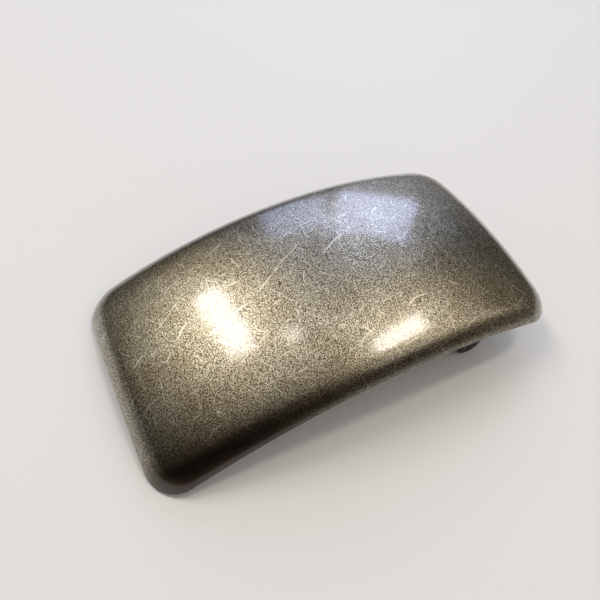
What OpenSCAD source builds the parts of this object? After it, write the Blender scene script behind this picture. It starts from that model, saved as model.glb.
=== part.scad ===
// Domed metal barrette with a spring clasp on its back.
// Units are mm. The barrette is drawn in its own axes (X along its length, Y across it,
// Z out of the crown of the dome, which is at 0) and each piece is then set down as it
// lies on a table: its left edge and the two finger pads of the catch touch z = 0.

/* [Dome plate] */
// Length across the two short edges
plate_length = 86; // [70:1:110]
// Width across the two long edges
plate_width = 47; // [30:1:60]
// Height of the lengthwise arch
rise_length = 9.4; // [4:0.1:14]
// Height of the crosswise arch
rise_width = 3.3; // [1:0.1:8]
// Radius of the four corners in plan
corner_radius = 6.8; // [5.5:0.1:12]
// Outside radius of the edge, where the sheet is rolled down
edge_radius = 4.4; // [1.5:0.1:5.5]
// How far the edge is rolled down, in degrees
edge_turn = 58; // [30:1:80]
// Straight part of the edge below the roll
edge_skirt = 0.2; // [0:0.1:1]
// Thickness of the sheet
sheet = 0.9; // [0.5:0.1:1.5]

/* [Clasp] */
// How far the clasp sits from the centreline, towards the near long edge
clasp_offset = 11.6; // [0:0.1:14]
// Width of the clasp base
base_width = 9.5; // [6:0.5:12]
// Thickness of the clasp base
base_thickness = 0.8; // [0.5:0.1:1.2]
// Drop from the dome's inner crown to the top of the clasp base
base_drop = 1.9; // [1.7:0.1:3]
// X of the hinge end of the base
hinge_x = -33; // [-36:0.5:-25]
// X of the catch end of the base
catch_x = 28.5; // [20:0.5:33]
// Height of the hinge pin under the base
pin_drop = 2.4; // [2:0.1:4]
// Radius of the hinge pin
pin_radius = 0.7; // [0.5:0.05:1]
// Running clearance round the hinge pin
pin_clearance = 0.05; // [0.02:0.01:0.1]
// Distance from base to clasp arm at the catch
arm_drop = 10.1; // [8:0.1:13]
// Width of the clasp arm
arm_width = 9.4; // [6:0.1:11]
// Thickness of the clasp arm
arm_thickness = 0.8; // [0.5:0.1:1.2]
// Depth of the arm's turned edges
arm_flange = 1.4; // [0.5:0.1:2.5]

/* [Catch] */
// Width of each prong
prong_width = 5.5; // [4:0.1:7]
// Thickness of the catch spring
prong_thickness = 0.6; // [0.4:0.1:0.8]
// Half the gap between the prongs
prong_gap = 2.25; // [1.5:0.05:3]
// Reach of the finger pads from the clasp's centreline
pad_reach = 8.2; // [6:0.1:9]
// Depth of the finger pads under the base
pad_drop = 13.4; // [12:0.1:15]

/* [Tension leaf] */
// Width of the leaf
leaf_width = 6.4; // [4:0.1:8]
// Thickness of the leaf
leaf_thickness = 0.45; // [0.3:0.05:0.8]

/* [Lying on the table] */
// Tilt that raises the catch end
lie_tilt = 5.81; // [0:0.01:10]
// Height of the crown over the table
lie_lift = 18.13; // [10:0.01:25]
// Shift that centres the outline over the origin
lie_shift = -1.26; // [-5:0.01:5]

/* [Hidden] */
arch_r = (pow(plate_length / 2, 2) + pow(rise_length, 2)) / (2 * rise_length);
crown_r = (pow(plate_width / 2, 2) + pow(rise_width, 2)) / (2 * rise_width);
clasp_y = -clasp_offset;

// Clasp base: concentric with the lengthwise arch
base_top_r = arch_r - sheet - base_drop;
base_under_r = base_top_r - base_thickness;
hinge_lean = asin(hinge_x / base_under_r);
catch_lean = asin(catch_x / base_under_r);
base_ends = [hinge_x - 3, catch_x + 4.5];
function arch_z(r, x) = -arch_r + sqrt(r * r - x * x);
hinge_root = [hinge_x, arch_z(base_under_r, hinge_x)];
catch_root = [catch_x, arch_z(base_under_r, catch_x)];
pin_at = hinge_root + pin_drop * [-sin(hinge_lean), -cos(hinge_lean)];
window_at = catch_root + arm_drop * [-sin(catch_lean), -cos(catch_lean)];

// Clasp arm: an arc from the pin to the window, square to the prongs
chord = norm(window_at - pin_at);
chord_tilt = atan2(window_at.y - pin_at.y, window_at.x - pin_at.x);
arm_half_turn = catch_lean + chord_tilt;
arm_r = chord / (2 * sin(arm_half_turn));
arm_mid = (pin_at + window_at) / 2;
arm_centre = arm_mid - arm_r * cos(arm_half_turn) * [-sin(chord_tilt), cos(chord_tilt)];
arm_from = arm_half_turn + chord_tilt;
function arm_turn(s) = s / arm_r * 180 / PI - arm_from;
arm_length = 2 * arm_half_turn / 180 * PI * arm_r;
window = [-4.2, 3.8];
window_half = prong_gap + prong_thickness + 0.45;

// Tension leaf: root under the base's hinge end, free end near the catch
leaf_root_x = hinge_x + 4.5;
leaf_bend = [hinge_x + 6.2, arch_z(base_under_r, hinge_x + 6.2) - 0.12 - leaf_thickness / 2];
leaf_tip = [17, -7.1];
leaf_sag = 0.85;
leaf_chord = norm(leaf_tip - leaf_bend);
leaf_tilt = atan2(leaf_tip.y - leaf_bend.y, leaf_tip.x - leaf_bend.x);
leaf_r = (pow(leaf_chord / 2, 2) + pow(leaf_sag, 2)) / (2 * leaf_sag);
leaf_half_turn = asin(leaf_chord / 2 / leaf_r);
leaf_centre = (leaf_bend + leaf_tip) / 2
    - (leaf_r - leaf_sag) * [-sin(leaf_tilt), cos(leaf_tilt)];

// Facets of the dome plate
side_steps = 12;
end_steps = 6;
corner_steps = 6;
dome_rings = 9;
edge_steps = 5;
roll_width = edge_radius * sin(edge_turn) + edge_skirt * cos(edge_turn);
around = 2 * (side_steps + end_steps) + 4 * corner_steps;
smooth = 96;

// ---- dome plate ----

// One corner of the rounded outline: points of an arc in quadrant q
function corner_points(hx, hy, r, q) = let (sx = [1, -1, -1, 1][q], sy = [1, 1, -1, -1][q])
    [for (i = [0:corner_steps]) let (a = 90 * q + 90 * i / corner_steps)
        [sx * (hx - r) + r * cos(a), sy * (hy - r) + r * sin(a), cos(a), sin(a)]];
// Straight run between two corners, without its ends
function run_points(p, q, steps) = [for (i = [1:steps - 1]) p + (q - p) * i / steps];
// Rounded outline drawn in by `inset`, each point with its outward direction
function outline(inset) = let (
        hx = plate_length / 2 - inset, hy = plate_width / 2 - inset,
        c = [for (q = [0:3]) corner_points(hx, hy, corner_radius - inset, q)],
        n = corner_steps)
    concat(c[0], run_points(c[0][n], c[1][0], side_steps),
        c[1], run_points(c[1][n], c[2][0], end_steps),
        c[2], run_points(c[2][n], c[3][0], side_steps),
        c[3], run_points(c[3][n], c[0][0], end_steps));

function slope(x, r) = -x / sqrt(r * r - x * x);
function crown_z(x, y) = sqrt(arch_r * arch_r - x * x) - arch_r
    + sqrt(crown_r * crown_r - y * y) - crown_r;
function unit(v) = v / norm(v);
// Point of the sheet at plan position p, where its edge has turned by `turn` and dropped
function sheet_point(p, turn, drop, depth) = let (
        normal = unit([sin(turn) * p[2] - cos(turn) * slope(p.x, arch_r),
            sin(turn) * p[3] - cos(turn) * slope(p.y, crown_r), cos(turn)]))
    [p.x, p.y, crown_z(p.x, p.y) - drop] - depth * normal;

// The cut edge, and then the steps of the roll from its lower end up to the dome
function cut_ring(depth) = [for (p = outline(0))
    sheet_point(p, edge_turn, edge_radius * (1 - cos(edge_turn)) + edge_skirt * sin(edge_turn),
        depth)];
function roll_ring(k, depth) = let (turn = edge_turn * (1 - k / edge_steps))
    [for (p = outline(roll_width - edge_radius * sin(turn)))
        sheet_point(p, turn, edge_radius * (1 - cos(turn)), depth)];
function dome_ring(k, depth) = [for (p = outline(roll_width))
    let (s = 1 - k / dome_rings) sheet_point([s * p.x, s * p.y, 0, 0], 0, 0, depth)];
function sheet_face(depth) = [each cut_ring(depth),
    for (k = [0:edge_steps]) each roll_ring(k, depth),
    for (k = [1:dome_rings - 1]) each dome_ring(k, depth), [0, 0, -depth]];
function ring_faces(first, count, flip) = [for (k = [0:count - 2], i = [0:around - 1])
    let (a = first + k * around + i, b = first + k * around + (i + 1) % around,
        c = a + around, d = b + around)
    each flip ? [[a, b, d], [a, d, c]] : [[a, d, b], [a, c, d]]];
function cap_faces(ring, centre, flip) = [for (i = [0:around - 1])
    let (a = ring + i, b = ring + (i + 1) % around) flip ? [a, b, centre] : [a, centre, b]];

module dome_plate() {
    rings = edge_steps + 2 + dome_rings - 1;
    points = rings * around + 1;
    color("DarkGoldenrod")
        polyhedron(
            points = concat(sheet_face(0), sheet_face(sheet)),
            faces = concat(
                ring_faces(0, rings, false), cap_faces((rings - 1) * around, points - 1, false),
                ring_faces(points, rings, true),
                cap_faces(points + (rings - 1) * around, 2 * points - 1, true),
                [for (i = [0:around - 1]) let (j = (i + 1) % around)
                    each [[i, j, points + j], [i, points + j, points + i]]]),
            convexity = 4);
}

// ---- solder between the dome and the clasp base ----

solder_x = 17;
solder_half = [7, 5.4];
module solder(at_x) {
    n = 24;
    cy = clasp_y - 0.1;
    ring = [for (s = [1, 0.66, 0.33], i = [0:n - 1])
        [at_x + s * solder_half.x * cos(360 * i / n), cy + s * solder_half.y * sin(360 * i / n)]];
    top = [for (p = concat(ring, [[at_x, cy]]))
        [p.x, p.y, crown_z(p.x, p.y) - sheet / cos(asin(p.x / arch_r)) - 0.12]];
    low = [for (p = concat(ring, [[at_x, cy]])) [p.x, p.y, arch_z(base_top_r, p.x) + 0.05]];
    m = 3 * n + 1;
    color("Silver")
        polyhedron(points = concat(top, low), faces = concat(
            [for (k = [0, 1], i = [0:n - 1]) let (a = k * n + i, b = k * n + (i + 1) % n)
                each [[a, a + n, b + n], [a, b + n, b]]],
            [for (i = [0:n - 1]) [2 * n + i, 3 * n, 2 * n + (i + 1) % n]],
            [for (k = [0, 1], i = [0:n - 1]) let (a = m + k * n + i, b = m + k * n + (i + 1) % n)
                each [[a, b + n, a + n], [a, b, b + n]]],
            [for (i = [0:n - 1]) [m + 2 * n + i, m + 2 * n + (i + 1) % n, m + 3 * n]],
            [for (i = [0:n - 1]) let (j = (i + 1) % n) each [[i, j, m + j], [i, m + j, m + i]]]));
}
module solder_left() solder(-solder_x);
module solder_right() solder(solder_x);

// ---- helpers for the clasp ----

// Strip bent round an arc in the XZ plane: outer radius, thickness, and its two ends in
// degrees from straight up, positive towards +X
module strip(centre, r, thick, from, to, width) {
    far = 1.3 * r;
    translate([0, clasp_y, 0]) rotate([90, 0, 0])
        linear_extrude(height = width, center = true) intersection() {
            translate(centre) difference() {
                circle(r = r, $fn = smooth);
                circle(r = r - thick, $fn = smooth);
            }
            translate(centre) polygon([[0, 0], far * [sin(from), cos(from)],
                far * [sin(to), cos(to)]]);
        }
}
module base_strip(r, thick, x0, x1, width)
    strip([0, -arch_r], r, thick, asin(x0 / r), asin(x1 / r), width);
module arm_strip(outer, thick, s0, s1, width)
    strip(arm_centre, arm_r + outer, thick, arm_turn(s0), arm_turn(s1), width);
// Local axes of a point on the base: Z square to the base, origin on its underside
module on_base(x) {
    lean = asin(x / base_under_r);
    translate([x, clasp_y, arch_z(base_under_r, x)]) rotate([0, lean, 0]) children();
}
// Rod along Y at a point of the XZ plane
module rod_y(at, r, length)
    translate([at.x, clasp_y, at.y]) rotate([90, 0, 0])
        cylinder(h = length, r = r, center = true, $fn = 48);

// ---- clasp base ----

ear_gap = 6;
ear = 0.8;
module ear_plate() {
    translate([0, 0, -pin_drop]) rotate([90, 0, 0])
        cylinder(h = ear, r = 1.9, center = true, $fn = 48);
    translate([0, 0, 0.15 - pin_drop / 2]) cube([3.8, ear, pin_drop + 0.3], center = true);
}
module clip_base() color("Silver") difference() {
    union() {
        base_strip(base_top_r, base_thickness, base_ends[0], base_ends[1], base_width);
        for (side = [-1, 1]) on_base(hinge_x)
            translate([0, side * (ear_gap + ear) / 2, 0]) ear_plate();
    }
    rod_y(pin_at, pin_radius + 0.01, base_width + 2);
    on_base(catch_x) cylinder(h = 4, r = 1.02, center = true, $fn = 32);
    on_base(leaf_root_x) cylinder(h = 4, r = 0.82, center = true, $fn = 32);
    for (x = [-7, 7]) on_base(x) cylinder(h = 4, r = 1.1, center = true, $fn = 32);
}

module hinge_pin() color("Silver") {
    rod_y(pin_at, pin_radius, ear_gap + 2 * ear + 1);
    for (side = [-1, 1])
        translate([0, side * ((ear_gap + 2 * ear) / 2 + 0.32), 0]) rod_y(pin_at, 1.15, 0.5);
}

// ---- catch ----

module catch_foot() color("DimGray") difference() {
    base_strip(base_under_r - 0.02, prong_thickness, catch_x - 4, catch_x + 4, 6);
    on_base(catch_x) cylinder(h = 4, r = 1.02, center = true, $fn = 32);
}
module rivet(x, r, head_r, stack) on_base(x) {
    translate([0, 0, -stack - 0.02]) cylinder(h = stack + base_thickness + 0.25, r = r, $fn = 32);
    translate([0, 0, -stack - 0.52]) cylinder(h = 0.5, r = head_r, $fn = 32);
    translate([0, 0, base_thickness + 0.05]) cylinder(h = 0.3, r = head_r - 0.2, $fn = 32);
}
module catch_rivet() color("Silver") rivet(catch_x, 1, 1.7, prong_thickness + 0.1);
module leaf_rivet() color("Silver") rivet(leaf_root_x, 0.8, 1.4, leaf_thickness + 0.28);

prong_top = -0.8;
hook_z = -arm_drop - arm_thickness / 2 - 0.25;
wing_z = -8.6;
pad_round = 2.3;
// One prong on the +Y side: leg through the window, hook under the arm, wing and finger pad
module prong() {
    leg_y = prong_gap + prong_thickness / 2;
    pad_y = pad_reach - prong_thickness / 2;
    translate([0, leg_y, (prong_top + hook_z - 1.9) / 2])
        cube([prong_width, prong_thickness, prong_top - hook_z + 1.9], center = true);
    rotate([90, 0, 90]) linear_extrude(height = 4, center = true)
        polygon([[prong_gap + 0.1, hook_z], [prong_gap + prong_thickness + 0.95, hook_z],
            [prong_gap + prong_thickness, hook_z - 1.85], [prong_gap + 0.1, hook_z - 1.85]]);
    translate([0, (leg_y + pad_reach) / 2, wing_z + prong_thickness / 2])
        cube([prong_width, pad_reach - leg_y, prong_thickness], center = true);
    translate([0, pad_y, 0]) rotate([90, 0, 0])
        linear_extrude(height = prong_thickness, center = true) {
            translate([-prong_width / 2, -pad_drop + pad_round])
                square([prong_width, pad_drop - pad_round + wing_z + prong_thickness]);
            translate([-prong_width / 2 + pad_round, -pad_drop])
                square([prong_width - 2 * pad_round, pad_round + 1]);
            for (side = [-1, 1])
                translate([side * (prong_width / 2 - pad_round), -pad_drop + pad_round])
                    circle(r = pad_round, $fn = 48);
        }
}
module prong_near() color("DimGray") on_base(catch_x) mirror([0, 1, 0]) prong();
module prong_far() color("DimGray") on_base(catch_x) prong();

// ---- clasp arm ----

neck = 5.2;
module clasp_arm() color("Silver") difference() {
    union() {
        rod_y(pin_at, 1.35, neck + 0.2);
        arm_strip(arm_thickness / 2, arm_thickness, 0, 6.5, neck);
        arm_strip(arm_thickness / 2, arm_thickness, 5.5, arm_length + 5.6, arm_width);
        for (side = [-1, 1]) translate([0, side * (arm_width - 0.7) / 2, 0])
            arm_strip(arm_thickness / 2, arm_thickness + arm_flange, 7, arm_length - 6.5, 0.7);
    }
    rod_y(pin_at, pin_radius + pin_clearance, neck + 2);
    on_base(catch_x) translate([window[0], -window_half, -arm_drop - 2])
        cube([window[1] - window[0], 2 * window_half, 4]);
}

// ---- tension leaf ----

module tension_leaf() color("Gainsboro") difference() {
    union() {
        base_strip(base_under_r - 0.12, leaf_thickness, hinge_x + 2, leaf_bend.x + 0.1, leaf_width);
        strip(leaf_centre, leaf_r + leaf_thickness / 2, leaf_thickness,
            -leaf_half_turn - leaf_tilt, leaf_half_turn - leaf_tilt, leaf_width);
        rod_y(leaf_tip - [0, 0.25], 0.5, leaf_width);
    }
    on_base(leaf_root_x) cylinder(h = 4, r = 0.9, center = true, $fn = 32);
}

// Sets a piece down as the barrette lies on a table
module as_it_lies() translate([lie_shift, 0, lie_lift]) rotate([0, -lie_tilt, 0]) children();

as_it_lies() dome_plate();
as_it_lies() solder_left();
as_it_lies() solder_right();
as_it_lies() clip_base();
as_it_lies() hinge_pin();
as_it_lies() catch_foot();
as_it_lies() catch_rivet();
as_it_lies() leaf_rivet();
as_it_lies() clasp_arm();
as_it_lies() prong_near();
as_it_lies() prong_far();
as_it_lies() tension_leaf();
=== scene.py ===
# %% [markdown]
# # A domed metal barrette
#
# A barrette is a hair clip with a stiff front. This one is a plate of brass sheet, pressed
# into a shallow dome with its edges turned down, with a spring clasp soldered on the back.
# The lesson models each piece as it is made in the workshop: the plate is pressed from a
# flat blank, and the clasp's strips are cut flat, bent round an arc and riveted.
#
# All sizes are millimetres in the text and metres in Blender. The pieces are drawn in the
# barrette's own axes, with X along it, Y across it and the crown of the dome at Z = 0, and
# are then set down as it lies on a table.

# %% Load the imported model
import math

import bpy
from mathutils import Matrix, Quaternion, Vector


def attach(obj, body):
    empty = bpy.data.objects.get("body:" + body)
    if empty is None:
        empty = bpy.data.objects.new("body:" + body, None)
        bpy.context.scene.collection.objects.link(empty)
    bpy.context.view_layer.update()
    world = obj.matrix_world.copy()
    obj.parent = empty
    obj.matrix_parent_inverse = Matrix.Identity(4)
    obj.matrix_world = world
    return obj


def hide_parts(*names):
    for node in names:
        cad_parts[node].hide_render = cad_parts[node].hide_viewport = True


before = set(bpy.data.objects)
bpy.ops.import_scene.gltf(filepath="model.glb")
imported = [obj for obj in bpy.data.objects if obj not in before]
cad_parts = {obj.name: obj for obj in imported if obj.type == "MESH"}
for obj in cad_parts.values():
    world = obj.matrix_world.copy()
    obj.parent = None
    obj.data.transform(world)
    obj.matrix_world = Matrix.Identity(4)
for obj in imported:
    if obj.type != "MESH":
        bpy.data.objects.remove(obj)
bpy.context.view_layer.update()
MM = 0.001

# %% [markdown]
# ## Colour and node helpers
#
# A hex colour is what a paint chart or a screen shows, in sRGB. Blender's shaders work in
# linear light, so one function turns every hex value. A second one adds a shader node with
# its settings and its links in a single line, which keeps each material short to read.


# %% Colour and node helpers
def hex_colour(code):
    """An sRGB hex colour in linear light, with an alpha of 1."""
    parts = [int(code[i:i + 2], 16) / 255 for i in (0, 2, 4)]
    return [c / 12.92 if c <= 0.04045 else ((c + 0.055) / 1.055) ** 2.4 for c in parts] + [1.0]


def connect(tree, made, inputs):
    """Fills a node's inputs: a socket is linked, anything else is set as the value."""
    for key, value in inputs.items():
        if isinstance(value, bpy.types.NodeSocket):
            tree.links.new(value, made.inputs[key])
        else:
            made.inputs[key].default_value = value


def node(tree, kind, inputs=None, **settings):
    made = tree.nodes.new(kind)
    for key, value in settings.items():
        setattr(made, key, value)
    connect(tree, made, inputs or {})
    return made


def new_material(name):
    """A material, its nodes, its shader, and the place on the piece in metres."""
    made = bpy.data.materials.new(name)
    made.use_nodes = True
    tree = made.node_tree
    shader = tree.nodes["Principled BSDF"]
    place = node(tree, "ShaderNodeTexCoord").outputs["Object"]
    return made, tree, shader, place


def ramp(tree, fac, stops):
    """A colour ramp through (position, hex colour or grey level) stops."""
    made = node(tree, "ShaderNodeValToRGB", {"Fac": fac})
    elements = made.color_ramp.elements
    elements[0].position, elements[1].position = stops[0][0], stops[-1][0]
    for at, _ in stops[1:-1]:
        elements.new(at)
    for element, (_, value) in zip(elements, stops):
        element.color = hex_colour(value) if isinstance(value, str) else [value] * 3 + [1]
    return made.outputs["Color"]


print("screen grey 808080 in linear light:", round(hex_colour("808080")[0], 3))

# %% [markdown]
# ## Camera
#
# The camera stands in front of the barrette, to its left, and looks down at a little over
# 50 degrees, from about 13 cm. So close, a moderate wide lens shows the near end clearly
# larger than the far one. The standard view transform shows a colour as its hex value says.

# %% Camera
CAMERA_AT = Vector((-41.42, -56.95, 101.32)) * MM
LOOKS_AT = Vector((-0.36, 6.39, 0.0)) * MM
CAMERA_ROLL = math.radians(7.65)    # turned a little about the line it looks along
FOCAL_LENGTH = 34.56                # in millimetres, on a sensor 36 mm wide
bpy.ops.object.camera_add(location=CAMERA_AT)
camera = bpy.context.object
aim = (LOOKS_AT - CAMERA_AT).to_track_quat("-Z", "Y")
camera.rotation_mode = "QUATERNION"
camera.rotation_quaternion = aim @ Quaternion((0, 0, 1), CAMERA_ROLL)
camera.data.lens = FOCAL_LENGTH
camera.data.clip_start = 0.005
bpy.context.scene.camera = camera
bpy.context.scene.view_settings.view_transform = "Standard"
print("the camera is", round((LOOKS_AT - CAMERA_AT).length / MM), "mm from where it looks")

# %% [markdown]
# ## Lamps
#
# Polished metal shows its surroundings, so the lights are placed as things to be seen in
# it. Two ceiling lamps give the white streaks, and a small one between them a spark. Two
# windows low behind the barrette give the pale blue patches. A pale card on the left shows
# in the rolled edge there, and a broad glow from the right and a dim ceiling fill the rest.
# A point or spot lamp would light the barrette as well, but would show no shape in it.


# %% Lamps
def lamp(name, towards, along, size, distance, radiance, colour):
    """A rectangle of light seen from the barrette in a direction, facing it."""
    bpy.ops.object.light_add(type="AREA")
    light = bpy.context.object
    light.name = name
    light.data.shape = "RECTANGLE"
    light.data.size, light.data.size_y = size
    light.data.energy = radiance * math.pi * size[0] * size[1]
    light.data.color = hex_colour(colour)[:3]
    back = Vector(towards).normalized()
    side = Vector(along)
    side = (side - back * side.dot(back)).normalized()
    turn = Matrix((side, back.cross(side), back)).transposed()
    light.matrix_world = Matrix.Translation(back * distance) @ turn.to_4x4()
    print(name, "gives", round(light.data.energy, 2), "W")


DAYLIGHT = "cbd8ff"
lamp("lamp_far", towards=(-0.323, 0.491, 0.809), along=(0.04, 0.48, -0.30),
     size=(0.40, 0.115), distance=0.8, radiance=18, colour="fffaf0")
lamp("lamp_right", towards=(0.400, -0.020, 0.919), along=(0.27, 0.075, -0.12),
     size=(0.25, 0.085), distance=0.8, radiance=21, colour="fff8ea")
lamp("downlight", towards=(-0.087, 0.232, 0.969), along=(1, 0, 0),
     size=(0.075, 0.075), distance=0.8, radiance=12, colour="fff6e8")
lamp("window_left", towards=(0.26, 0.81, 0.50), along=(0.9, -0.3, 0.0),
     size=(0.42, 0.42), distance=1.5, radiance=3.4, colour=DAYLIGHT)
lamp("window_right", towards=(0.55, 0.64, 0.49), along=(0.8, -0.6, 0.0),
     size=(0.50, 0.58), distance=1.5, radiance=5.9, colour=DAYLIGHT)
lamp("ceiling", towards=(0.15, 0.35, 0.92), along=(1, 0, 0),
     size=(1.3, 1.0), distance=1.4, radiance=0.30, colour="e9eef8")
lamp("side_card", towards=(-0.93, 0.30, 0.20), along=(0, 0, 1),
     size=(0.20, 0.80), distance=1.0, radiance=0.42, colour="f6f1ea")
lamp("right_glow", towards=(0.56, -0.38, 0.74), along=(0.8, 0.5, 0.0),
     size=(0.85, 0.38), distance=0.9, radiance=1.5, colour="fff4e2")

# %% [markdown]
# ## Room
#
# The rest of the room is a world shader. Reflections see dark, warm walls that get lighter
# towards the ceiling, so that the metal has contrast. All other rays get an even, brighter
# white, which keeps the shadows on the table soft. Is Glossy Ray tells them apart.

# %% Room
FILL_STRENGTH = 0.62
world = bpy.context.scene.world or bpy.data.worlds.new("room")
bpy.context.scene.world = world
world.use_nodes = True
sky = world.node_tree
sky.nodes.clear()
direction = node(sky, "ShaderNodeTexCoord").outputs["Generated"]
height = node(sky, "ShaderNodeSeparateXYZ", {"Vector": direction}).outputs["Z"]
walls = ramp(sky, height, [(0.0, "151311"), (0.6, "1c1a17"), (0.85, "47423b"), (1.0, "645e54")])
room = node(sky, "ShaderNodeBackground", {"Color": walls, "Strength": 1.0})
fill = node(sky, "ShaderNodeBackground", {
    "Color": hex_colour("f2efe9"), "Strength": FILL_STRENGTH})
ray = node(sky, "ShaderNodeLightPath").outputs["Is Glossy Ray"]
both = node(sky, "ShaderNodeMixShader", {0: ray, 1: fill.outputs[0], 2: room.outputs[0]})
node(sky, "ShaderNodeOutputWorld", {"Surface": both.outputs[0]})
print("the world has", len(sky.nodes), "nodes")

# %% [markdown]
# ## Table
#
# The barrette lies on a matt white laminate, which takes its shadow. The laminate is mixed
# with a transparent shader by Backfacing, so the table is clear from below and the clasp
# can be looked at from there. Leaving the table out would do that too, but lose the shadow.

# %% Table
TABLE_SIDE = 6      # metres, so that its edge stays out of view
bpy.ops.mesh.primitive_plane_add(size=TABLE_SIDE)
table = bpy.context.object
table.name = "table"
laminate, tree, shader, place = new_material("matt_white_laminate")
connect(tree, shader, {"Base Color": hex_colour("c5c5c6"), "Roughness": 0.65})
under = node(tree, "ShaderNodeNewGeometry").outputs["Backfacing"]
clear = node(tree, "ShaderNodeBsdfTransparent")
top_only = node(tree, "ShaderNodeMixShader", {0: under, 1: shader.outputs[0], 2: clear.outputs[0]})
connect(tree, tree.nodes["Material Output"], {"Surface": top_only.outputs[0]})
table.data.materials.append(laminate)
print("the table is", TABLE_SIDE, "m across")

# %% [markdown]
# ## Setting a piece down
#
# Every piece is modelled in the barrette's own axes, where it is symmetric and easy to
# describe. One function then tilts it as the barrette lies, with its left edge and its
# clasp on the table, and applies that, so the place is in the mesh and not in the object.

# %% Setting a piece down
LIE_TILT = math.radians(-5.81)
LIE_AT = Vector((-1.26, 0, 18.13)) * MM     # where the crown of the dome comes to lie
LIE = Matrix.Translation(LIE_AT) @ Matrix.Rotation(LIE_TILT, 4, "Y")


def deselect():
    if bpy.context.mode != "OBJECT":
        bpy.ops.object.mode_set(mode="OBJECT")
    bpy.ops.object.select_all(action="DESELECT")


def pick(piece):
    """Makes a piece the only selected one and the active one, as a click on it does."""
    deselect()
    piece.select_set(True)
    bpy.context.view_layer.objects.active = piece


def modify(piece, kind, **settings):
    """Adds a modifier to a piece and applies it."""
    pick(piece)
    modifier = piece.modifiers.new(kind.lower(), kind)
    for key, value in settings.items():
        setattr(modifier, key, value)
    bpy.ops.object.modifier_apply(modifier=modifier.name)


def settle(piece, body, material, smooth=30, replaces=()):
    """Tilts a piece to how it lies, smooths it, and ties it to its body and its finish."""
    pick(piece)
    piece.matrix_world = LIE @ piece.matrix_world
    bpy.ops.object.transform_apply(location=True, rotation=True, scale=True)
    bpy.ops.object.shade_smooth_by_angle(angle=math.radians(smooth))
    piece.data.materials.clear()
    piece.data.materials.append(material)
    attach(piece, body)
    if replaces:
        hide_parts(*replaces)
    print(piece.name, len(piece.data.polygons), "faces")


# %% [markdown]
# ## Antique brass
#
# Brass is plated, blackened, and then tumbled with fine grit. The grit takes the black off
# the tops of the grain and leaves it in the hollows, so the eye sees a dark olive metal
# dusted with pale gold points. One noise gives both the colour and the relief of the grain,
# so that the bright points are the high ones. A second, slow noise tints the patina.

# %% Antique brass
GRAIN = 0.22 * MM      # grit marks of about 0.1 mm, drawn coarser so that they show
BLOTCH = 9 * MM        # slow changes in the patina
TINT_STRENGTH = 0.6
antique_brass, tree, shader, place = new_material("antique_brass_tumbled")
grain = node(tree, "ShaderNodeTexNoise", {
    "Vector": place, "Scale": 1 / GRAIN, "Detail": 2, "Roughness": 0.6}).outputs["Fac"]
blotch = node(tree, "ShaderNodeTexNoise", {
    "Vector": place, "Scale": 1 / BLOTCH, "Detail": 3}).outputs["Fac"]
patina = ramp(tree, grain, [(0.38, "3d372c"), (0.50, "8c8470"), (0.63, "dfd9c6")])
tint = ramp(tree, blotch, [(0.3, "c9baa2"), (0.7, "ffffff")])
tinted = node(tree, "ShaderNodeMix", {"Factor": TINT_STRENGTH, 6: patina, 7: tint},
              data_type="RGBA", blend_type="MULTIPLY").outputs[2]
print("grain of", round(GRAIN / MM, 2), "mm, patches of", round(BLOTCH / MM), "mm")

# %% [markdown]
# The tumbling also leaves hairline scratches. A wave texture, distorted and with all but
# its very crests cut away, draws them as long thin lines. A noise breaks these into short
# lengths. Three such layers run in different directions, each in the colour of bare metal.

# %% Antique brass: scratches
WAVE_PERIOD = 0.314    # the wave texture's own period at scale 1
LAYERS = ((12, 2.9), (-40, 3.7), (68, 4.6))    # direction in degrees, spacing in mm
CREST = [(0.0, 0.0), (0.990, 0.0), (0.999, 1.0)]
LENGTHS = [(0.0, 0.0), (0.55, 0.0), (0.66, 0.65)]
scratched = tinted
for turn, spacing in LAYERS:
    turned_place = node(tree, "ShaderNodeMapping", {
        "Vector": place, "Rotation": (0, 0, math.radians(turn))}).outputs[0]
    wave = node(tree, "ShaderNodeTexWave", {
        "Vector": turned_place, "Scale": WAVE_PERIOD / (spacing * MM), "Distortion": 7.0,
        "Detail": 2.0, "Detail Scale": 0.8}).outputs["Fac"]
    breaks = node(tree, "ShaderNodeTexNoise", {
        "Vector": turned_place, "Scale": 1 / (spacing * MM), "Detail": 1}).outputs["Fac"]
    mask = node(tree, "ShaderNodeMath", {
        0: ramp(tree, wave, CREST), 1: ramp(tree, breaks, LENGTHS)}, operation="MULTIPLY")
    scratched = node(tree, "ShaderNodeMix", {
        "Factor": mask.outputs[0], 6: scratched, 7: hex_colour("f0e8d4")},
        data_type="RGBA").outputs[2]
print("layers of scratches:", len(LAYERS))

# %% [markdown]
# The rolled edge is painted darker: a little black patina kept in the roll, and mostly painted
# shade, where the near edge and the left end lie dark in this light. Where, is stored on the
# plate itself, in an attribute named rim, because it follows the plate and no noise would.
# Last, a thin clear lacquer, which is the shader's coat and smoother than the metal, adds
# sharp reflections over the soft, glittering ones of the grain.

# %% Antique brass: shader
# painted shade: the rim attribute mixes the brass towards a dark brown at the edges
rim_painted_shade = node(tree, "ShaderNodeAttribute", attribute_name="rim").outputs["Fac"]
shaded = node(tree, "ShaderNodeMix", {
    "Factor": rim_painted_shade, 6: scratched, 7: hex_colour("43362c")}, data_type="RGBA")
relief = node(tree, "ShaderNodeBump", {"Height": grain, "Distance": 0.07 * MM})
connect(tree, shader, {
    "Base Color": shaded.outputs[2], "Normal": relief.outputs[0], "Roughness": 0.29,
    "Metallic": 1.0, "Coat Weight": 1.0, "Coat Roughness": 0.13})
print(antique_brass.name, "has", len(tree.nodes), "nodes")

# %% [markdown]
# ## The dome plate
#
# The blank is a flat rectangle of 0.9 mm sheet with rounded corners. A press arches it
# lengthwise, crowns it crosswise, and rolls its edge down round a wide radius. Sculpting
# would never be as even as a press, so the press is a function that moves each point of a
# grid to the die's surface. The grid's rows crowd together where the sheet is rolled.

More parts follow.
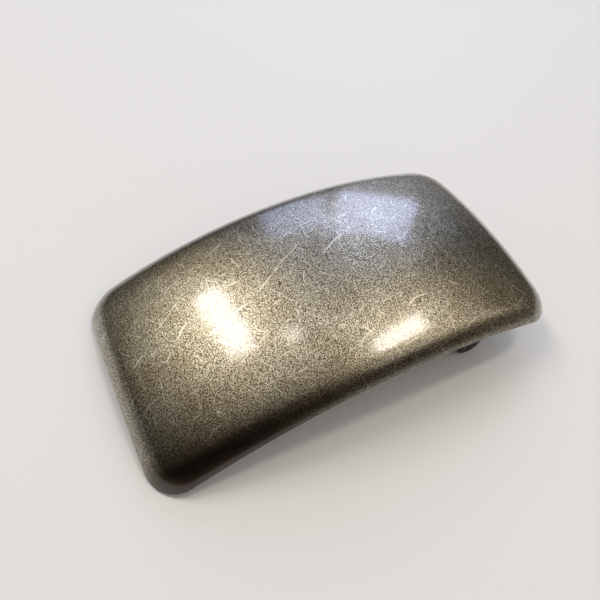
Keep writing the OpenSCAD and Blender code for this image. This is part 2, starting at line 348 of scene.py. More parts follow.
# %% Dome plate: the die
HALF = Vector((43, 23.5)) * MM                  # half its length and half its width
RISE_ALONG, RISE_ACROSS = 9.4 * MM, 3.3 * MM    # from the ends and the sides to the crown
CORNER, SHEET = 6.8 * MM, 0.9 * MM              # radius of the corners, thickness
ROLL, ROLL_TURN = 4.4 * MM, math.radians(58)    # radius of the rolled edge, how far it turns
SKIRT = 0.2 * MM                                # straight wall below the roll
ARCH_R = (HALF.x ** 2 + RISE_ALONG ** 2) / (2 * RISE_ALONG)
CROWN_R = (HALF.y ** 2 + RISE_ACROSS ** 2) / (2 * RISE_ACROSS)
ROLL_WIDTH = ROLL * math.sin(ROLL_TURN) + SKIRT * math.cos(ROLL_TURN)
ROLL_ROWS, CORNER_ROWS = 12, 5


def rows(half, middle_rows):
    """(distance in from the border, drop) of each row, from the cut edge to the middle."""
    turns = [ROLL_TURN * (1 - k / ROLL_ROWS) for k in range(ROLL_ROWS + 1)]
    rim = [(0.0, ROLL * (1 - math.cos(ROLL_TURN)) + SKIRT * math.sin(ROLL_TURN))]
    rim += [(ROLL_WIDTH - ROLL * math.sin(t), ROLL * (1 - math.cos(t))) for t in turns]
    rim += [(ROLL_WIDTH + (CORNER - ROLL_WIDTH) * k / CORNER_ROWS, 0.0)
            for k in range(1, CORNER_ROWS + 1)]
    return rim + [(CORNER + (half - CORNER) * k / middle_rows, 0.0)
                  for k in range(1, middle_rows + 1)]


def die_height(x, y):
    return (math.sqrt(ARCH_R ** 2 - x * x) - ARCH_R
            + math.sqrt(CROWN_R ** 2 - y * y) - CROWN_R)


def pressed(row_x, row_y):
    """Where the die takes the point in these rows, for the quarter with X and Y positive."""
    (inset_x, drop_x), (inset_y, drop_y) = row_x, row_y
    x, y = HALF.x - inset_x, HALF.y - inset_y
    a, b = CORNER - inset_x, CORNER - inset_y
    if a > 0 and b > 0:         # the square patch in a corner becomes a quarter of a disc
        turn = math.pi / 4 * (b / a if a >= b else 2 - a / b)
        x = HALF.x - CORNER + max(a, b) * math.cos(turn)
        y = HALF.y - CORNER + max(a, b) * math.sin(turn)
    return x, y, die_height(x, y) - max(drop_x, drop_y)


print("the arch has a radius of", round(ARCH_R / MM, 1), "mm, the crown", round(CROWN_R / MM, 1))

# %% [markdown]
# The blank's middle rows are about 0.8 mm apart, close enough for a smooth dome.
# Every point of the grid finds its two rows by counting from the nearest border.

# %% Dome plate: pressing
MIDDLE_ROWS_X, MIDDLE_ROWS_Y = 44, 22
rows_x, rows_y = rows(HALF.x, MIDDLE_ROWS_X), rows(HALF.y, MIDDLE_ROWS_Y)
cells_x, cells_y = 2 * len(rows_x) - 2, 2 * len(rows_y) - 2
deselect()
bpy.ops.mesh.primitive_grid_add(x_subdivisions=cells_x, y_subdivisions=cells_y, size=1)
plate = bpy.context.object
plate.name = "dome_plate_pressed"
for point in plate.data.vertices:
    i, j = round((point.co.x + 0.5) * cells_x), round((point.co.y + 0.5) * cells_y)
    x, y, z = pressed(rows_x[min(i, cells_x - i)], rows_y[min(j, cells_y - j)])
    point.co = (math.copysign(x, i - cells_x / 2), math.copysign(y, j - cells_y / 2), z)
print("the blank has", cells_x, "by", cells_y, "cells")

# %% [markdown]
# The rim attribute holds how dark each point is painted, from 0 to 1: some patina, and mostly
# painted shade. It is highest along both long edges, falls off from the left end to the right,
# and is high in the near left corner, where the shade lies in this light.
# The sheet then gets its thickness downwards, and its cut edges lose their sharpness.

# %% Dome plate: painted rim shade and thickness
RIM_WIDTH = 8 * MM
RIM_PAINTED_SHADE, RIM_FALL = 0.55, 0.45    # along an edge: at its middle, and from there to an end
NEAR_LEFT_PAINTED_SHADE = 0.6
# painted shade: darkest along the long edges towards the left end, and in the near left corner
rim = plate.data.attributes.new("rim", "FLOAT", "POINT")
for point, shade in zip(plate.data.vertices, rim.data):
    edge = HALF.y - abs(point.co.y)
    left, near = max(0.0, -point.co.x / HALF.x), max(0.0, -point.co.y / HALF.y)
    rolled = (RIM_PAINTED_SHADE - RIM_FALL * point.co.x / HALF.x) * max(0.0, 1 - edge / RIM_WIDTH)
    shade.value = min(1.0, rolled + NEAR_LEFT_PAINTED_SHADE * left * near)
modify(plate, "SOLIDIFY", thickness=SHEET, offset=-1, use_even_offset=True)
modify(plate, "BEVEL", width=0.12 * MM, segments=2, limit_method="ANGLE",
       angle_limit=math.radians(50))
settle(plate, "barrette", antique_brass, 40, ["dome_plate"])

# %% [markdown]
# ## Nickel-plated steel
#
# The clasp is stamped from cold-rolled strip and barrel-plated with nickel. Rolling leaves
# fine lines along the strip and the plating evens them out, so the eye sees a pale warm grey
# metal with a soft streaky shine and a few duller patches. The lines are a noise stretched
# lengthwise, and one slow noise moves both the colour and the roughness.

# %% Nickel-plated steel
ROLLING_LINE = 0.18 * MM    # real rolling lines are about 0.05 mm apart
STRETCH = 0.03              # how much slower the noise changes along the strip
CLOUD = 4 * MM
clasp_steel, tree, shader, place = new_material("nickel_plated_steel")
drawn = node(tree, "ShaderNodeMapping", {
    "Vector": place, "Scale": (STRETCH / ROLLING_LINE, 1 / ROLLING_LINE, 1 / ROLLING_LINE)})
lines = node(tree, "ShaderNodeTexNoise", {
    "Vector": drawn.outputs[0], "Scale": 1.0, "Detail": 3}).outputs["Fac"]
clouds = node(tree, "ShaderNodeTexNoise", {
    "Vector": place, "Scale": 1 / CLOUD, "Detail": 4}).outputs["Fac"]
nickel = ramp(tree, clouds, [(0.35, "a39d92"), (0.5, "bdb8ad"), (0.7, "cfcabf")])
dullness = node(tree, "ShaderNodeMapRange", {
    "Value": clouds, "From Min": 0.3, "From Max": 0.7, "To Min": 0.44, "To Max": 0.29})
relief = node(tree, "ShaderNodeBump", {"Height": lines, "Distance": 0.012 * MM})
connect(tree, shader, {
    "Base Color": nickel, "Roughness": dullness.outputs[0], "Normal": relief.outputs[0],
    "Metallic": 1.0})
print(clasp_steel.name, "has", len(tree.nodes), "nodes")

# %% [markdown]
# ## Blackened spring steel
#
# The catch and the leaf have to spring, so they are hardened steel, left with a thin dark
# oxide from the tempering oil. It is satin, brownish black, and worn lighter in spots. One
# noise gives the spots, and makes them smoother where they are worn lighter.

# %% Blackened spring steel
SPOT = 1.3 * MM
spring_steel, tree, shader, place = new_material("blackened_spring_steel")
scale = node(tree, "ShaderNodeTexNoise", {
    "Vector": place, "Scale": 1 / SPOT, "Detail": 5, "Roughness": 0.65}).outputs["Fac"]
oxide = ramp(tree, scale, [(0.35, "25211d"), (0.55, "332e28"), (0.75, "5d5549")])
satin = node(tree, "ShaderNodeMapRange", {
    "Value": scale, "From Min": 0.35, "From Max": 0.7, "To Min": 0.5, "To Max": 0.32})
relief = node(tree, "ShaderNodeBump", {"Height": scale, "Distance": 0.02 * MM})
connect(tree, shader, {
    "Base Color": oxide, "Roughness": satin.outputs[0], "Normal": relief.outputs[0],
    "Metallic": 1.0})
print(spring_steel.name, "has", len(tree.nodes), "nodes")

# %% [markdown]
# ## Soft solder
#
# Tin solder freezes with a dull, finely puckered skin, pale grey with darker flux stains.
# A distorted noise gives it that skin, both in its colour and in its relief.

# %% Soft solder
PUCKER = 0.8 * MM
solder_tin, tree, shader, place = new_material("soft_solder")
skin = node(tree, "ShaderNodeTexNoise", {
    "Vector": place, "Scale": 1 / PUCKER, "Detail": 4, "Distortion": 0.6}).outputs["Fac"]
tin = ramp(tree, skin, [(0.3, "6f6a60"), (0.5, "9a9a96"), (0.7, "b4b5b3")])
relief = node(tree, "ShaderNodeBump", {"Height": skin, "Distance": 0.06 * MM})
connect(tree, shader, {
    "Base Color": tin, "Normal": relief.outputs[0], "Roughness": 0.46, "Metallic": 1.0})
print(solder_tin.name, "has", len(tree.nodes), "nodes")

# %% [markdown]
# ## Working in strip
#
# Base, arm, leaf and catch are all strip. Base, arm and foot are cut out flat, as a grid
# with rounded ends. Base and arm then have sides folded down by extruding the side edges.
# All three are bent by moving their points to a path, and only then get their thickness.
# That is the order of the real press tools, and it keeps every fold and end a simple shape.

# %% Strip: cutting
CLASP_Y = -11.6 * MM    # the clasp's centreline, towards the near edge
ACROSS = 6              # cells across a strip
ROUND_STEPS = 5         # cells along a rounded end


def spaced(start, end, spacing):
    """Even places from start up to end, without end itself."""
    count = max(1, round((end - start) / spacing))
    return [start + (end - start) * k / count for k in range(count)]


def round_end(end, corner):
    """Places that crowd together towards a rounded end, the end itself last."""
    turns = [math.pi / 2 / ROUND_STEPS * k for k in range(ROUND_STEPS + 1)]
    return [end - corner * (1 - math.sin(t)) for t in turns]


def stations(marks, spacing, corner):
    """Places along a strip: crowded at its rounded ends, evenly spaced between the marks."""
    inner = [marks[0] + corner, *marks[1:-1], marks[-1] - corner]
    places = round_end(marks[0], -corner)[:0:-1]
    for start, end in zip(inner, inner[1:]):
        places += spaced(start, end, spacing)
    return places + round_end(marks[-1], corner)


def rounded(x, start, end, half, corner):
    """Half the width at x of a strip with rounded corners."""
    gap = max(0.0, corner - min(x - start, end - x))
    return half - corner + math.sqrt(max(0.0, corner ** 2 - gap ** 2))


def blank(name, places, half_width):
    """A flat strip along X, a row of points at each place."""
    deselect()
    cells = len(places) - 1
    bpy.ops.mesh.primitive_grid_add(x_subdivisions=cells, y_subdivisions=ACROSS, size=1)
    strip = bpy.context.object
    strip.name = name
    for point in strip.data.vertices:
        x = places[round((point.co.x + 0.5) * cells)]
        point.co = (x, 2 * point.co.y * half_width(x), 0)
    return strip


print("a strip is", ACROSS, "cells wide")

# %% [markdown]
# A folded side starts as the blank's side edges, which belong to one face only and run
# lengthwise. They are selected by that, extruded, and moved out and down in small steps.
# A mesh of single sheets has no inside, so all faces are then turned to look up, because
# the Solidify modifier adds the thickness on the other side.


# %% Strip: folding and bending
def edit(piece):
    """Opens a piece in edit mode, with all of it selected."""
    pick(piece)
    bpy.ops.object.mode_set(mode="EDIT")
    bpy.ops.mesh.select_all(action="SELECT")


def fold(strip, start, end, steps):
    """Folds down the side edges from start to end; each step goes (outwards, down)."""
    edit(strip)
    bpy.ops.mesh.select_mode(type="EDGE")
    bpy.ops.mesh.select_all(action="DESELECT")
    bpy.ops.object.mode_set(mode="OBJECT")
    points = strip.data.vertices
    faces_at = [0] * len(strip.data.edges)
    edge_of = {edge.key: edge.index for edge in strip.data.edges}
    for face in strip.data.polygons:
        for key in face.edge_keys:
            faces_at[edge_of[key]] += 1
    tiny = 0.01 * MM
    for edge in strip.data.edges:
        a, b = (points[i].co for i in edge.vertices)
        inside = all(start - tiny < p.x < end + tiny for p in (a, b))
        edge.select = inside and faces_at[edge.index] == 1 and abs(a.x - b.x) > tiny
    for out, down in steps:
        bpy.ops.object.mode_set(mode="EDIT")
        bpy.ops.mesh.extrude_region_move()
        bpy.ops.object.mode_set(mode="OBJECT")
        for point in strip.data.vertices:
            if point.select:
                point.co.y += math.copysign(out, point.co.y)
                point.co.z -= down


def face_up(strip):
    """Turns all faces of a flat or folded blank the way its web looks up."""
    edit(strip)
    bpy.ops.mesh.normals_make_consistent(inside=False)
    bpy.ops.object.mode_set(mode="OBJECT")
    web = min(strip.data.polygons, key=lambda f: abs(f.center.y) - f.area)
    if web.normal.z < 0:
        bpy.ops.object.mode_set(mode="EDIT")
        bpy.ops.mesh.flip_normals()
        bpy.ops.object.mode_set(mode="OBJECT")


def arc(centre_x, centre_z, radius):
    """A path round an arc that is level at x = 0."""
    return lambda x: (centre_x + radius * math.sin(x / radius),
                      centre_z + radius * math.cos(x / radius), x / radius)


def bend(strip, path):
    """Moves a flat strip's points to a path, which gives (x, z, lean) at each place."""
    for point in strip.data.vertices:
        x, z, lean = path(point.co.x)
        rise = point.co.z
        point.co = (x + rise * math.sin(lean), point.co.y, z + rise * math.cos(lean))


def to_clasp_line(strip):
    """Moves a strip from the barrette's centreline to the clasp's."""
    for point in strip.data.vertices:
        point.co.y += CLASP_Y


def thicken(strip, thickness):
    """Gives a sheet its thickness, behind its faces."""
    modify(strip, "SOLIDIFY", thickness=thickness, offset=-1, use_even_offset=True)


def ease_edges(piece, width):
    """Takes the sharpness off the cut edges, as tumbling does."""
    modify(piece, "BEVEL", width=width, segments=2, limit_method="ANGLE",
           angle_limit=math.radians(40))


# %% [markdown]
# Pin, rivets and catch all sit square on the arched base, so one function gives the axes
# there for any place along it. Holes are cut by Boolean with a cylinder in those axes.

# %% Strip: places and holes on the clasp base
BASE_DROP, BASE_THICK = 1.9 * MM, 0.8 * MM      # the base below the plate, and its thickness
BASE_TOP_R = ARCH_R - SHEET - BASE_DROP
BASE_UNDER_R = BASE_TOP_R - BASE_THICK


def on_base(x):
    """Axes on the underside of the clasp base at x, with Z square to it."""
    lean = math.asin(x / BASE_UNDER_R)
    foot = Vector((x, CLASP_Y, BASE_UNDER_R * math.cos(lean) - ARCH_R))
    return Matrix.Translation(foot) @ Matrix.Rotation(lean, 4, "Y")


def cut(piece, cutter):
    modify(piece, "BOOLEAN", object=cutter, operation="DIFFERENCE", solver="EXACT")
    bpy.data.objects.remove(cutter)


def drill(piece, x, radius):
    """Drills a hole through a strip on the base at x."""
    deselect()
    bpy.ops.mesh.primitive_cylinder_add(vertices=40, radius=radius, depth=4 * MM)
    drill_bit = bpy.context.object
    drill_bit.matrix_world = on_base(x)
    bpy.context.view_layer.update()
    cut(piece, drill_bit)


print("the base's underside has a radius of", round(BASE_UNDER_R / MM, 1), "mm")

# %% [markdown]
# ## Clasp base
#
# The base is an arched strip that follows the dome. At its hinge end it is narrower, and
# two ears are folded down from its sides to carry the pin. It has holes for two rivets and
# for sewing. The ears could be separate plates, but folded ones have the real soft bend.

# %% Clasp base: its outline
HINGE_X, CATCH_X = -33 * MM, 28.5 * MM          # the pin, and the catch's rivet
LEAF_ROOT_X = HINGE_X + 4.5 * MM                # the leaf's rivet
BASE_HALF, BASE_CORNER = 4.75 * MM, 1.6 * MM
EAR_OUT, EAR_R, EAR_FOLD = 3.8 * MM, 1.9 * MM, 0.4 * MM
TAIL_HALF, TAIL_CORNER = EAR_OUT - EAR_FOLD, 1.2 * MM       # the narrow end, between the ears
SHOULDER = 1.5 * MM                             # length over which it widens
hinge_at = BASE_TOP_R * math.asin(HINGE_X / BASE_UNDER_R)
base_from = BASE_TOP_R * math.asin((HINGE_X - 3 * MM) / BASE_TOP_R)
base_to = BASE_TOP_R * math.asin((CATCH_X + 4.5 * MM) / BASE_TOP_R)
ears = (hinge_at - EAR_R, hinge_at + EAR_R)
shoulder = ears[1] + 0.6 * MM


def base_half(x):
    if x < shoulder:
        return rounded(x, base_from, base_to, TAIL_HALF, TAIL_CORNER)
    widen = min(1.0, (x - shoulder) / SHOULDER)
    half = TAIL_HALF + (BASE_HALF - TAIL_HALF) * widen
    return rounded(x, base_from, base_to, half, BASE_CORNER)


ear_at = [hinge_at + EAR_R * math.sin(math.radians(15 * k)) for k in range(-6, 7)]
places = stations([base_from, *ear_at, shoulder, shoulder + SHOULDER, base_to],
                  1.6 * MM, 0.9 * MM)
base = blank("clip_base_strip", places, base_half)
print("the base is cut", round((base_to - base_from) / MM, 1), "mm long")

# %% [markdown]
# The fold is an arc in three steps. The ear below it is first a straight wall of even rows,
# one millimetre each. Each row is then moved so that the last one follows a half circle
# about the pin, and the others share out the height above it.

# %% Clasp base: ears, bend and holes
PIN_DROP = 2.4 * MM                             # the pin below the base's underside
EAR_ROWS = 5
SEWING_X, SEWING_R = 7 * MM, 1.1 * MM
FOLD_TURNS = (0, math.pi / 6, math.pi / 3, math.pi / 2)
fold_arc = [(EAR_FOLD * (math.sin(b) - math.sin(a)), EAR_FOLD * (math.cos(a) - math.cos(b)))
            for a, b in zip(FOLD_TURNS, FOLD_TURNS[1:])]
fold(base, *ears, [*fold_arc, *[(0, MM)] * EAR_ROWS])
for point in base.data.vertices:
    row = round((-point.co.z - EAR_FOLD) / MM)
    if row > 0:
        across = min(1.0, abs(point.co.x - hinge_at) / EAR_R)
        ear_end = BASE_THICK + PIN_DROP + EAR_R * math.sqrt(1 - across ** 2)
        point.co.z = -EAR_FOLD - (ear_end - EAR_FOLD) * row / EAR_ROWS
print("the ears reach", round(-min(p.co.z for p in base.data.vertices) / MM, 2), "mm down")
face_up(base)
bend(base, arc(0, -ARCH_R, BASE_TOP_R))
to_clasp_line(base)
thicken(base, BASE_THICK)
for x, radius in ((CATCH_X, 1.02 * MM), (LEAF_ROOT_X, 0.82 * MM),
                  (-SEWING_X, SEWING_R), (SEWING_X, SEWING_R)):
    drill(base, x, radius)
ease_edges(base, 0.1 * MM)
settle(base, "barrette", clasp_steel, 35, ["clip_base"])

# %% [markdown]
# ## Pins and rivets
#
# Turned or upset pieces are drawn as a circle that is extruded ring by ring, each ring
# scaled to the radius there. Spinning a profile would give the same shape, but leaves a
# seam and two poles to close. The hinge pin has a domed head at both ends. A rivet has a
# domed head below and is hammered flat above.


# %% Hinge pin
def turned(name, profile, sides=32):
    """A closed round piece about Z from rings of (radius, height)."""
    deselect()
    (radius, height), *rest = profile
    bpy.ops.mesh.primitive_circle_add(vertices=sides, radius=radius, fill_type="NGON",
                                      location=(0, 0, height))
    piece = bpy.context.object
    piece.name = name
    bpy.ops.object.mode_set(mode="EDIT")
    bpy.ops.mesh.select_all(action="SELECT")
    for ring, level in rest:
        bpy.ops.mesh.extrude_region_move(
            TRANSFORM_OT_translate={"value": (0, 0, level - height)})
        bpy.ops.transform.resize(value=(ring / radius, ring / radius, 1))
        radius, height = ring, level
    bpy.ops.mesh.select_all(action="SELECT")
    bpy.ops.mesh.normals_make_consistent(inside=False)
    bpy.ops.object.mode_set(mode="OBJECT")
    bpy.ops.object.transform_apply(location=True, rotation=True, scale=True)
    return piece


PIN_R, PIN_HALF, HEAD_R = 0.7 * MM, 4.3 * MM, 1.15 * MM
DOME = ((0.45, 0.52), (0.80, 0.42), (1.0, 0.22), (1.0, 0.02))    # share of a head's radius, mm high
head = [(HEAD_R * r, PIN_HALF - 0.2 * MM + h * MM) for r, h in DOME]
profile = [(r, -z) for r, z in head] + [(PIN_R, -PIN_HALF + 0.15 * MM)]
profile += [(r, -z) for r, z in reversed(profile)]
pin = turned("hinge_pin_headed", profile)
pin.matrix_world = (on_base(HINGE_X) @ Matrix.Translation((0, 0, -PIN_DROP))
                    @ Matrix.Rotation(math.pi / 2, 4, "X"))
settle(pin, "barrette", clasp_steel, 40, ["hinge_pin"])

# %% [markdown]
# A rivet goes through the base and through the spring below it, the stack. Its hammered
# end is a little smaller than its head, flat on top, with a slanting rim.

# %% Rivets
HAMMERED = ((0.2, 0.02), (0.25, 0.20), (0.5, 0.29))     # mm smaller than the head, mm high


def rivet(name, x, shank, head_r, stack, node_name):
    under, over = -stack - 0.02 * MM, BASE_THICK + 0.05 * MM
    rings = [(head_r * r, under - h * MM) for r, h in DOME] + [(shank, under), (shank, over)]
    rings += [(head_r - less * MM, over + up * MM) for less, up in HAMMERED]
    made = turned(name, rings)
    made.matrix_world = on_base(x)
    settle(made, "barrette", clasp_steel, 40, [node_name])


rivet("catch_rivet_domed", CATCH_X, 1.0 * MM, 1.7 * MM, 0.7 * MM, "catch_rivet")
rivet("leaf_rivet_domed", LEAF_ROOT_X, 0.8 * MM, 1.4 * MM, 0.73 * MM, "leaf_rivet")

# %% [markdown]
# ## Solder
#
# The base is held by two puddles of solder. Melted solder wets both metals and draws in
# between them, so its side is a hollow curve and its outline is a little uneven. A puddle
# starts as a turned piece, and a function then fits it between the base and the dome.

# %% Solder
SOLDER_X, SOLDER_Y = 17 * MM, CLASP_Y - 0.1 * MM
SOLDER_HALF = Vector((7.0, 5.4)) * MM
HOLLOW = ((1.0, 0.0), (0.94, 0.2), (0.90, 0.5), (0.94, 0.8), (1.0, 1.0))    # shares of width, height
SOLDER_GAP = 0.05 * MM      # between the puddle and the plate


def solder(name, at_x, node_name):
    puddle = turned(name, HOLLOW, 48)
    for point in puddle.data.vertices:
        around = math.atan2(point.co.y, point.co.x)
        uneven = 0.95 + 0.025 * math.sin(3 * around + at_x / MM) + 0.02 * math.sin(7 * around)
        x = at_x + point.co.x * SOLDER_HALF.x * uneven
        y = SOLDER_Y + point.co.y * SOLDER_HALF.y * uneven
        low = math.sqrt(BASE_TOP_R ** 2 - x * x) - ARCH_R
        high = die_height(x, y) - SHEET - SOLDER_GAP
        point.co = (x, y, low + (high - low) * point.co.z)
    settle(puddle, "barrette", solder_tin, 50, [node_name])


solder("solder_left_puddle", -SOLDER_X, "solder_left")
solder("solder_right_puddle", SOLDER_X, "solder_right")

# %% [markdown]
# ## Clasp arm
#
# The arm is a channel: a strip with its two sides folded down, which keeps it straight when
# the hair presses on it. Its neck goes between the ears and is curled round the pin. Near
# its free end a window takes the two prongs. Seen from the side it is an arc from the pin to
# the window, which it meets square to the prongs. Its two ends and that direction are
# enough to work out the arc.

# %% Clasp arm: the arc from the pin to the window
ARM_DROP, ARM_THICK = 10.1 * MM, 0.8 * MM       # the arm below the base at the catch
pin_at = on_base(HINGE_X) @ Vector((0, 0, -PIN_DROP))
window_at = on_base(CATCH_X) @ Vector((0, 0, -ARM_DROP))
chord = window_at - pin_at
chord_tilt = math.atan2(chord.z, chord.x)
half_turn = math.asin(CATCH_X / BASE_UNDER_R) + chord_tilt
arm_r = chord.length / (2 * math.sin(half_turn))
arm_length = 2 * half_turn * arm_r
arm_from = -(half_turn + chord_tilt)            # lean of the arm at the pin
square_to_chord = Vector((-math.sin(chord_tilt), 0, math.cos(chord_tilt)))
arm_centre = (pin_at + window_at) / 2 - arm_r * math.cos(half_turn) * square_to_chord
arm_face_r = arm_r + ARM_THICK / 2
arm_face = arc(arm_centre.x, arm_centre.z, arm_face_r)
print("the arm is", round(arm_length / MM, 2), "mm long, with a radius of", round(arm_r / MM, 1))

# %% [markdown]
# The strip is laid out along s, the distance from the pin: below 0 it is curled round the
# pin, and up to 3 mm it comes up from the arc to the top of the curl.

# %% Clasp arm: outline and path
ARM_HALF, ARM_FOLD, ARM_CORNER = 4.7 * MM, 0.5 * MM, 1.6 * MM
NECK_HALF, NECK_TO, NECK_WIDENS = 2.6 * MM, 6.2 * MM, 1.3 * MM
CURL_R = 1.05 * MM                              # middle of the curl round the pin
CURL_RISE = 3 * MM                              # where the neck starts to come up
ARM_STEP = 2.6 * MM
arm_end = arm_length + 5.6 * MM
flange = (7.5 * MM, arm_length - 6.5 * MM)


def arm_half(s):
    if s < NECK_TO:
        return NECK_HALF
    margin = 0.1 * MM
    widen = min(1.0, (s - NECK_TO) / NECK_WIDENS)
    half = ARM_HALF - (ARM_FOLD if flange[0] - margin < s < flange[1] + margin else 0)
    return rounded(s, -math.inf, arm_end, NECK_HALF + (half - NECK_HALF) * widen, ARM_CORNER)


def arm_path(s):
    """Along the arm, and for s below CURL_RISE up and round the pin."""
    if s <= 0:
        turn = arm_from + s / CURL_R
        outside = CURL_R + ARM_THICK / 2
        return pin_at.x + outside * math.sin(turn), pin_at.z + outside * math.cos(turn), turn
    x, z, lean = arm_face(arm_face_r * (arm_from + s / arm_r))
    if s > CURL_RISE:
        return x, z, lean
    part = math.pi * s / CURL_RISE
    return x, z + (0.5 + 0.5 * math.cos(part)) * CURL_R, lean + 0.5 * math.sin(part)


curl = [(-5.2 + 0.4 * k) * MM for k in range(13)]
neck = [0.5 * MM * k for k in range(13)] + [6.9 * MM]
tip = [s for s in spaced(flange[1], arm_end, ARM_STEP) if s < arm_end - ARM_CORNER - 0.1 * MM]
places = curl + neck + spaced(*flange, ARM_STEP) + tip + round_end(arm_end, ARM_CORNER)
arm = blank("clasp_arm_channel", places, arm_half)
print("the arm's blank has", len(places), "rows of points")

# %% [markdown]
# The arm's fold is the base's fold, only a little wider. The flanges below it grow from
# nearly nothing to full depth over one step of the grid at each end. The window is cut
# last, through the curved strip, as its sides have to be parallel to the prongs.

# %% Clasp arm: flanges, curl and window
FLANGE_ROW = 0.85 * MM
WINDOW = Vector((8.0, 6.6, 4.0)) * MM           # along, across, and deeper than the strip
WINDOW_SHIFT = -0.2 * MM
arm_fold = [(out * ARM_FOLD / EAR_FOLD, down * ARM_FOLD / EAR_FOLD) for out, down in fold_arc]
fold(arm, *flange, [*arm_fold, (0, FLANGE_ROW), (0, FLANGE_ROW)])
for point in arm.data.vertices:
    near_end = min(point.co.x - flange[0], flange[1] - point.co.x) / ARM_STEP
    if point.co.z < 0:
        point.co.z *= 0.15 + 0.85 * math.sin(math.pi / 2 * max(0, min(1, near_end)))
face_up(arm)
bend(arm, arm_path)
to_clasp_line(arm)
thicken(arm, ARM_THICK)
deselect()
bpy.ops.mesh.primitive_cube_add(size=1)
window = bpy.context.object
window.matrix_world = (on_base(CATCH_X) @ Matrix.Translation((WINDOW_SHIFT, 0, -ARM_DROP))
                       @ Matrix.Diagonal((*WINDOW, 1)))
bpy.context.view_layer.update()
cut(arm, window)
ease_edges(arm, 0.1 * MM)
settle(arm, "clasp_arm", clasp_steel, 35, ["clasp_arm"])

# %% [markdown]
# ## Catch
#
# The catch is one small spring of bent strip: a foot riveted to the base, and two prongs
# that pass through the arm's window. A barb on each prong holds the arm, and a finger pad
# at the end of a short wing lets the prongs be squeezed together. The foot and the prongs
# are separate here, so that the prongs can move.

# %% Catch: foot
SPRING, SPRING_CORNER = 0.6 * MM, 0.8 * MM      # the strip's thickness, its corners
foot_r = BASE_UNDER_R - 0.02 * MM               # just below the base
foot_at = foot_r * math.asin(CATCH_X / foot_r)
foot_ends = (foot_at - 4 * MM, foot_at + 4 * MM)
foot = blank("catch_foot_strip", stations(foot_ends, 1.3 * MM, SPRING_CORNER),
             lambda x: rounded(x, *foot_ends, 1.8 * MM, SPRING_CORNER))
face_up(foot)
bend(foot, arc(0, -ARCH_R, foot_r))
to_clasp_line(foot)
thicken(foot, SPRING)
drill(foot, CATCH_X, 1.02 * MM)
ease_edges(foot, 0.08 * MM)
settle(foot, "barrette", spring_steel, 35, ["catch_foot"])

# %% [markdown]
# Prongs and leaf are bent tighter than the foot. For these a path is drawn first, from a
# few corners that are rounded, and the strip then follows it. Their thickness goes half to
# each side, so the path is the middle of the strip.


# %% Catch: strip along a path
def round_corners(corners, radius, steps=4):
    """A path in metres through corners in mm, each one rounded."""
    corners = [Vector(corner) * MM for corner in corners]
    path = [corners[0]]
    for before, at, after in zip(corners, corners[1:], corners[2:]):
        reach_in = min(radius, (before - at).length * 0.45)
        reach_out = min(radius, (after - at).length * 0.45)
        start = at + (before - at).normalized() * reach_in
        stop = at + (after - at).normalized() * reach_out
        for k in range(steps + 1):
            t = k / steps
            path.append(start * (1 - t) ** 2 + at * 2 * t * (1 - t) + stop * t * t)
    return path + [corners[-1]]


def follow(name, path, half_width, thickness):
    """A strip along a path of (x, z) points, with its thickness on both sides of it."""
    strip = blank(name, list(range(len(path))), lambda i: 1)
    for point in strip.data.vertices:
        at = path[round(point.co.x)]
        point.co = (at.x, point.co.y * half_width(at.x, at.y), at.y)
    modify(strip, "SOLIDIFY", thickness=thickness, offset=0, use_even_offset=True)
    edit(strip)
    bpy.ops.mesh.normals_make_consistent(inside=False)
    bpy.ops.object.mode_set(mode="OBJECT")
    return strip


# %% [markdown]
# A prong's leg comes out from the foot, goes straight down through the window, and ends in
# a barb that points outwards under the arm. Its wing leaves it just above the arm, reaches
# past the arm's side and turns down into the pad, whose end is round. Leg and wing are
# drawn apart and then united.

# %% Catch: prongs
LEG = ((2.0, -0.52), (2.55, -0.52), (2.55, -4.5), (2.55, -8.8), (2.55, -9.0),
       (2.55, -10.4), (3.45, -10.95), (2.65, -12.5))        # outwards, up
WING = ((2.4, -8.3), (7.9, -8.3), (7.9, -11.0))
PRONG_HALF, BARB_HALF = 2.75 * MM, 2.0 * MM     # half the width of a leg, and of its barb
BARB_FROM, TAPER_FROM = 8.9 * MM, 11.5 * MM     # how far down each begins
TAPER = 0.6 / 1.15                              # loss of width to length
PAD_END, PAD_ROUND, PAD_STEPS = 13.4 * MM, 2.3 * MM, 7


def leg_half(outwards, up):
    if up > -BARB_FROM:
        return PRONG_HALF
    return BARB_HALF - TAPER * max(0, -up - TAPER_FROM)


def pad_half(outwards, up):
    return rounded(-up, -math.inf, PAD_END, PRONG_HALF, PAD_ROUND)


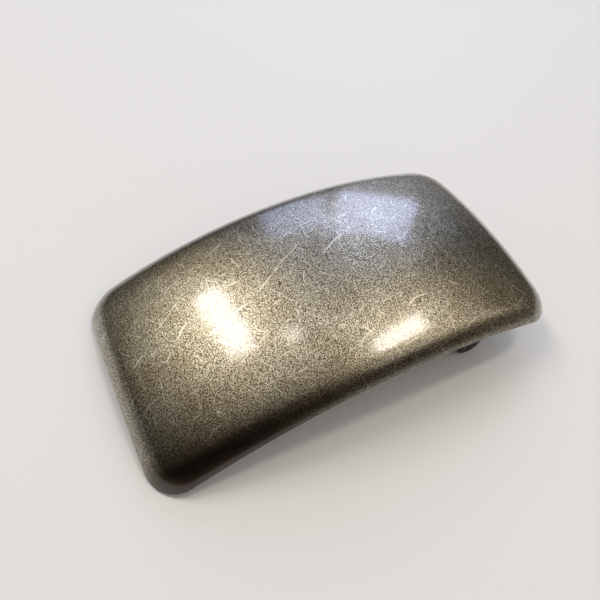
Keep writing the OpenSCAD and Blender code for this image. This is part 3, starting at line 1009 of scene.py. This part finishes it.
def prong(name, side, body):
    leg = follow(name, round_corners(LEG, 0.65 * MM), leg_half, SPRING)
    wing_line = round_corners(WING, 1.1 * MM, 6)
    for k in range(PAD_STEPS + 1):
        down = PAD_END - PAD_ROUND * (1 - math.sin(math.pi / 2 / PAD_STEPS * k))
        wing_line.append(Vector((WING[-1][0] * MM, -down)))
    wing = follow("wing", wing_line, pad_half, SPRING)
    modify(leg, "BOOLEAN", object=wing, operation="UNION", solver="EXACT")
    bpy.data.objects.remove(wing)
    ease_edges(leg, 0.08 * MM)
    leg.matrix_world = on_base(CATCH_X) @ Matrix.Rotation(side * math.pi / 2, 4, "Z")
    settle(leg, body, spring_steel, 35, [body])


prong("prong_far_spring", 1, "prong_far")
prong("prong_near_spring", -1, "prong_near")

# %% [markdown]
# ## Tension leaf
#
# A thin bowed leaf is riveted under the hinge end of the base. It presses the hair against
# the arm. Its free end is curled up, so that it slides over hair without catching. It is
# drawn as one path: the root along the base's underside, the bow, and the curl.
#
# Known fault: BOW_FROM is about 1.3 mm too high. The leaf steps up there and runs inside
# the base strip over its first 7 mm, where it should stay under it.

# %% Tension leaf
LEAF_HALF, LEAF, LEAF_CORNER = 3.2 * MM, 0.45 * MM, 0.9 * MM
ROOT_X = (-31.0, -30.85, -30.5, -30.0, -29.2, -28.3, -27.4)     # closer at its rounded end
BOW_FROM, BOW_TO = Vector((-26.8, -6.295)) * MM, Vector((17.0, -7.1)) * MM
BOW_STEPS, BOW_RISE = 24, 0.85 * MM
TIP_CURL, CURL_STEPS = 0.38 * MM, 8
leaf_r = BASE_UNDER_R - 0.12 * MM - LEAF / 2
leaf_line = [Vector((x * MM, math.sqrt(leaf_r ** 2 - (x * MM) ** 2) - ARCH_R)) for x in ROOT_X]
for k in range(BOW_STEPS + 1):
    t = k / BOW_STEPS
    leaf_line.append(BOW_FROM.lerp(BOW_TO, t) + Vector((0, 4 * BOW_RISE * t * (1 - t))))
for k in range(1, CURL_STEPS + 1):
    turn = math.radians(32 * k)
    around = Vector((math.sin(turn), math.cos(turn) - 1))
    leaf_line.append(BOW_TO + TIP_CURL * around)


def leaf_half(x, z):
    return rounded(x, ROOT_X[0] * MM, math.inf, LEAF_HALF, LEAF_CORNER)


leaf = follow("tension_leaf_bowed", leaf_line, leaf_half, LEAF)
to_clasp_line(leaf)
drill(leaf, LEAF_ROOT_X, 0.9 * MM)
ease_edges(leaf, 0.06 * MM)
settle(leaf, "tension_leaf", spring_steel, 35, ["tension_leaf"])
